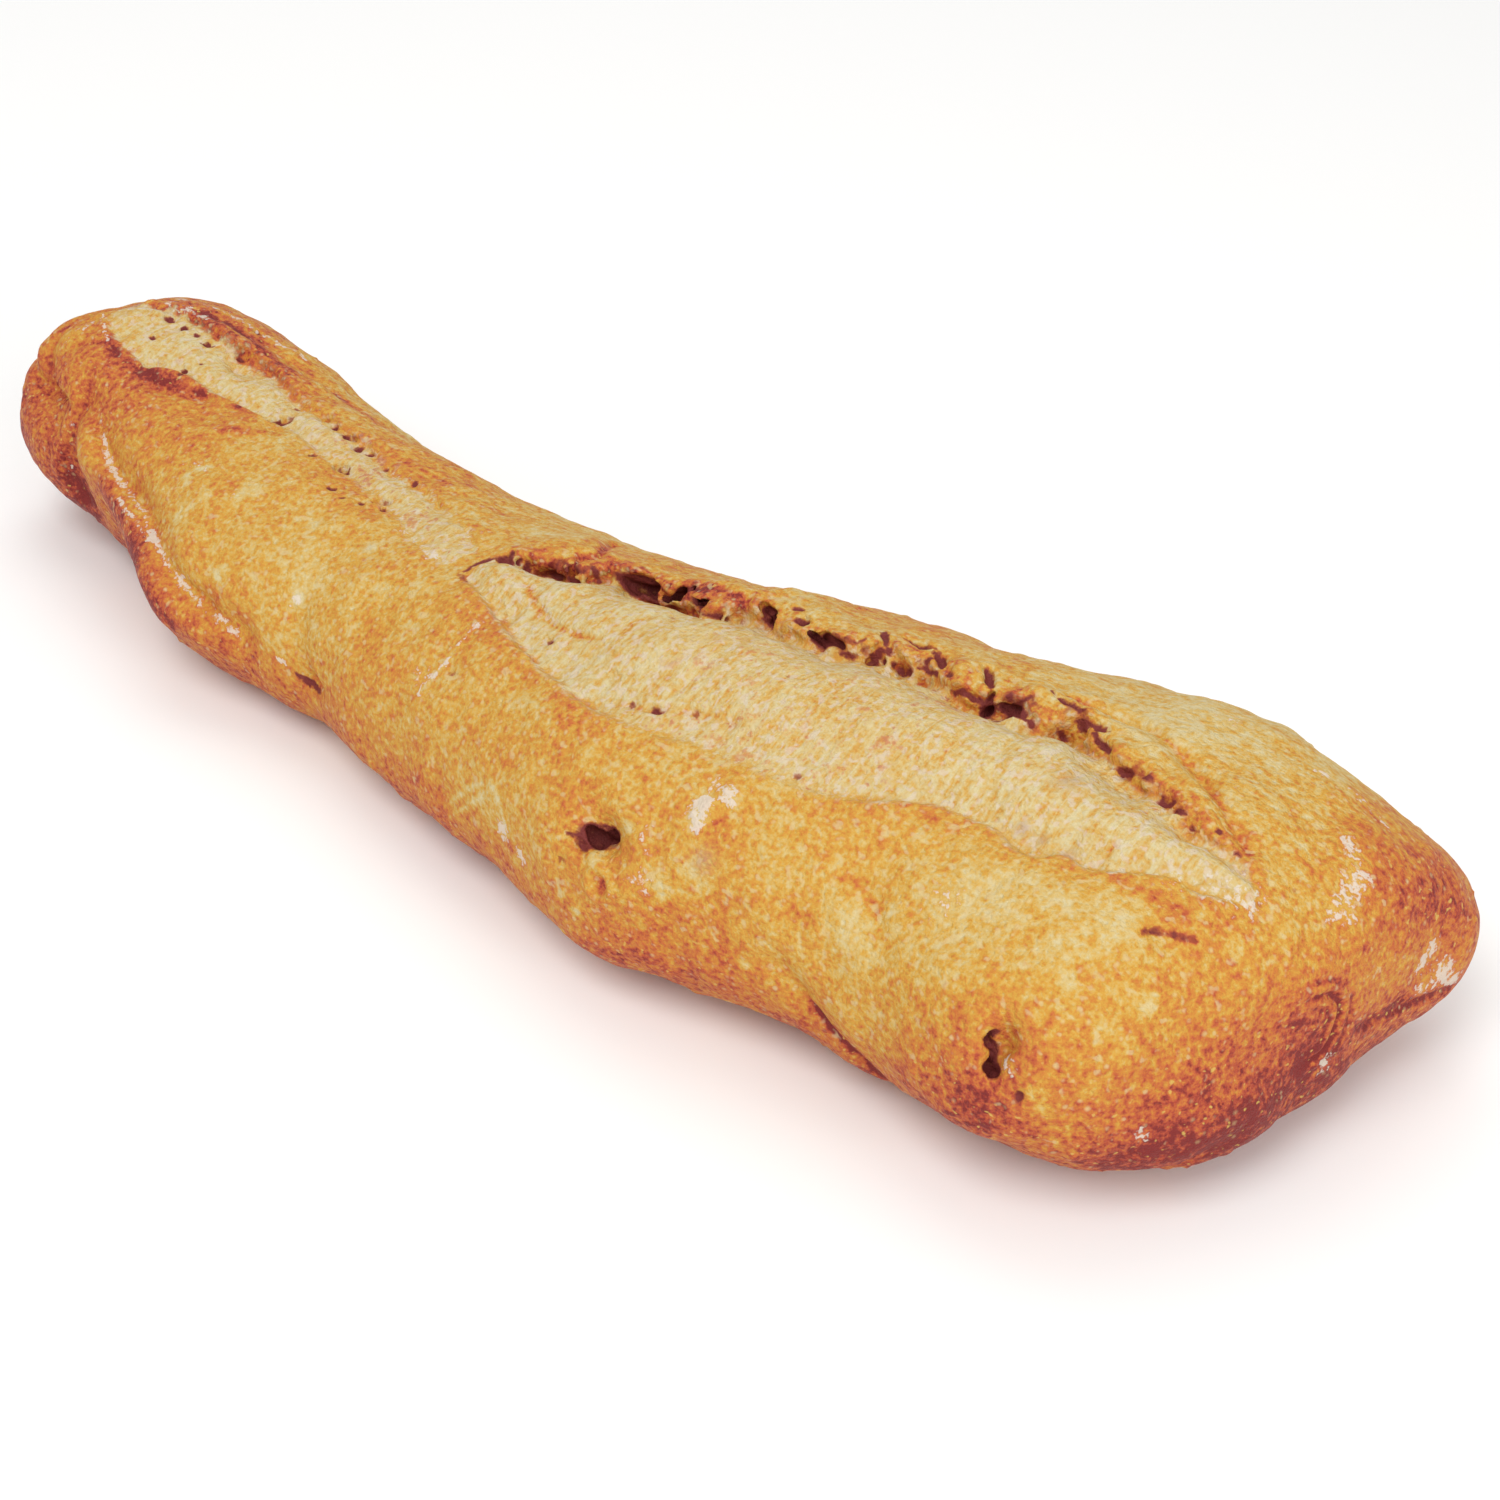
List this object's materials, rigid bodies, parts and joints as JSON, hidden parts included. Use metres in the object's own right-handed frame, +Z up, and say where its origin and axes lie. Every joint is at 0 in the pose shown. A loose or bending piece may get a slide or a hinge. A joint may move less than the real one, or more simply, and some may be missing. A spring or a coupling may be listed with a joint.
{
  "type": "ciabatta loaf",
  "caption": "Whole uncut rustic ciabatta: a long, low baked loaf with a narrow end, a broad end and two burst slashes along its top, resting on a flat base.",
  "frame": {"origin": "on the floor plane, under the middle of the loaf's box", "axes": "+X along the loaf towards its broad end, +Z up, -Y the side with the round hole in the crust"},
  "size_m": [0.3368, 0.103, 0.0548],
  "materials": {
    "crust": "baked golden-orange bread crust, matt with a faint oily sheen, paler floury bloom in the two slashes and darker brown at the broad end and along the lower edge"
  },
  "bodies": {
    "root": {"loaf": "crust"}
  },
  "joints": []
}
